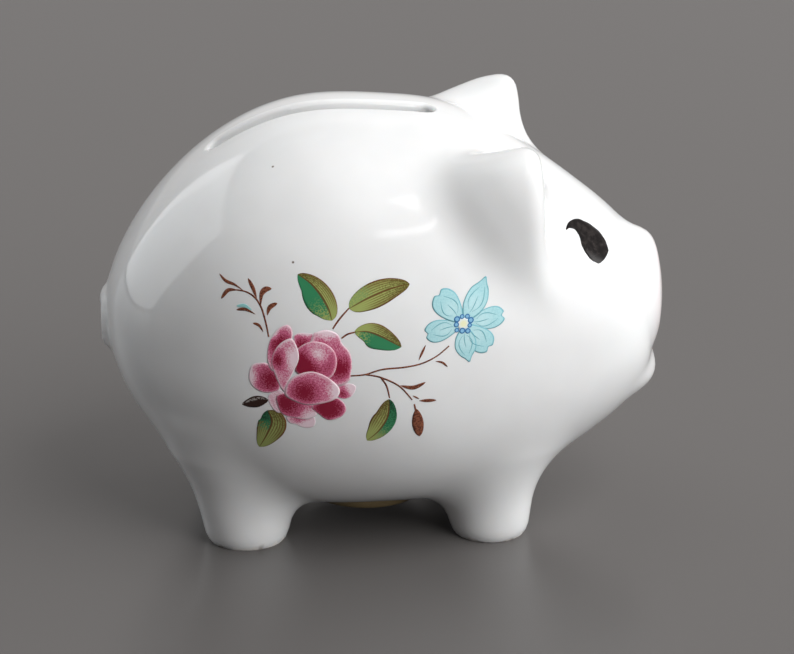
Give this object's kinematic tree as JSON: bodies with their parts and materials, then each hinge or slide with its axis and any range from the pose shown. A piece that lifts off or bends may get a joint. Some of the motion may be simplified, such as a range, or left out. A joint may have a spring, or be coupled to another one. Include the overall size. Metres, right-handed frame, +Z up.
{
  "type": "ceramic piggy bank",
  "caption": "Small glazed china piggy bank with a coin slot along its back, painted eyes, a flower spray on its flank and a pull-out rubber stopper in its belly.",
  "frame": {"origin": "on the table plane under the middle of the pig's overall bounding box", "axes": "+X from tail to snout, +Y to the pig's left, +Z up; the flower spray is on the right flank, towards -Y"},
  "size_m": [0.1115, 0.077, 0.085],
  "materials": {
    "china_glaze": "glossy clear glaze over white bone china",
    "stopper_rubber": "matte amber-brown rubber",
    "black_enamel": "glossy black on-glaze enamel",
    "rose_enamel": "glossy pink on-glaze transfer print",
    "leaf_enamel": "glossy green and brown on-glaze transfer print",
    "blue_enamel": "glossy turquoise on-glaze transfer print"
  },
  "bodies": {
    "bank": {"china_body": "china_glaze", "right_eye": "black_enamel", "left_eye": "black_enamel", "rose_bloom": "rose_enamel", "blue_blossom": "blue_enamel", "leaf_upper_left": "leaf_enamel", "leaf_upper_right": "leaf_enamel", "leaf_middle": "leaf_enamel", "leaf_lower_left": "leaf_enamel", "leaf_lower_right": "leaf_enamel", "dark_bud_leaf": "leaf_enamel"},
    "stopper": {"stopper": "stopper_rubber"}
  },
  "joints": [
    {"name": "stopper_pull", "type": "slide", "parent": "bank", "child": "stopper", "axis": [0, 0, -1], "range_m": [0, 0.016]}
  ]
}
